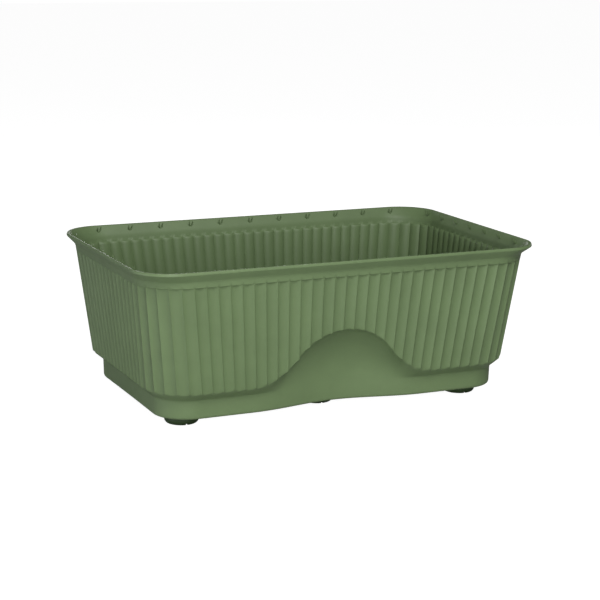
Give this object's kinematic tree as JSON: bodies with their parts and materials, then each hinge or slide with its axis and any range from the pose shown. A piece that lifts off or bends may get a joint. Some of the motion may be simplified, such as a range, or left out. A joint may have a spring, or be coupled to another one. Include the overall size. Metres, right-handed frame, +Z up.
{
  "type": "self watering planter",
  "caption": "Long fluted self watering trough with a flared rim, reservoir plate, wicking cups, filler tube, water level float and quarter-turn plug feet.",
  "frame": {"origin": "on the ground, under the middle of the planter", "axes": "+X along the length, +Y to the back, +Z up; the front faces -Y"},
  "size_m": [0.6, 0.384, 0.225],
  "materials": {
    "sage_plastic": "satin moulded sage green",
    "grey_plastic": "matte dark grey-green",
    "black_plastic": "matte near-black",
    "deep_green_plastic": "satin near-black green",
    "pale_plastic": "smooth translucent white",
    "float_white": "matte off-white",
    "marker_red": "glossy red",
    "seal_rubber": "matte black",
    "pin_steel": "bright drawn wire"
  },
  "bodies": {
    "trough": {"planter_box": "sage_plastic", "reservoir_plate": "grey_plastic", "wicking_cup_1": "black_plastic", "wicking_cup_2": "black_plastic", "wicking_cup_3": "black_plastic", "wicking_cup_4": "black_plastic", "filler_tube": "grey_plastic", "filler_hinge_pin": "pin_steel", "gauge_sleeve": "pale_plastic", "gauge_cap": "deep_green_plastic", "overflow_pipe": "deep_green_plastic", "overflow_seal": "seal_rubber"},
    "cap": {"filler_cap": "deep_green_plastic"},
    "float": {"gauge_float": "float_white", "gauge_rod": "float_white", "gauge_flag": "marker_red"},
    "plug_1": {"foot_1": "deep_green_plastic", "foot_seal_1": "seal_rubber"},
    "plug_2": {"foot_2": "deep_green_plastic", "foot_seal_2": "seal_rubber"},
    "plug_3": {"foot_3": "deep_green_plastic", "foot_seal_3": "seal_rubber"},
    "plug_4": {"foot_4": "deep_green_plastic", "foot_seal_4": "seal_rubber"},
    "plug_5": {"foot_5": "deep_green_plastic", "foot_seal_5": "seal_rubber"},
    "plug_6": {"foot_6": "deep_green_plastic", "foot_seal_6": "seal_rubber"}
  },
  "joints": [
    {"name": "filler_cap_hinge", "type": "hinge", "parent": "trough", "child": "cap", "pos_m": [0.18, -0.0945, 0.2014], "axis": [-1, 0, 0], "range_deg": [0, 110]},
    {"name": "float_lift", "type": "slide", "parent": "trough", "child": "float", "axis": [0, 0, 1], "range_m": [0, 0.0185]},
    {"name": "foot_1_turn", "type": "hinge", "parent": "trough", "child": "plug_1", "pos_m": [-0.2155, -0.1005, 0.015], "axis": [0, 0, 1], "range_deg": [0, 90]},
    {"name": "foot_2_turn", "type": "hinge", "parent": "trough", "child": "plug_2", "pos_m": [0, -0.071, 0.015], "axis": [0, 0, 1], "range_deg": [0, 90]},
    {"name": "foot_3_turn", "type": "hinge", "parent": "trough", "child": "plug_3", "pos_m": [0.2155, -0.1005, 0.015], "axis": [0, 0, 1], "range_deg": [0, 90]},
    {"name": "foot_4_turn", "type": "hinge", "parent": "trough", "child": "plug_4", "pos_m": [-0.2155, 0.1005, 0.015], "axis": [0, 0, 1], "range_deg": [0, 90]},
    {"name": "foot_5_turn", "type": "hinge", "parent": "trough", "child": "plug_5", "pos_m": [0, 0.071, 0.015], "axis": [0, 0, 1], "range_deg": [0, 90]},
    {"name": "foot_6_turn", "type": "hinge", "parent": "trough", "child": "plug_6", "pos_m": [0.2155, 0.1005, 0.015], "axis": [0, 0, 1], "range_deg": [0, 90]}
  ]
}
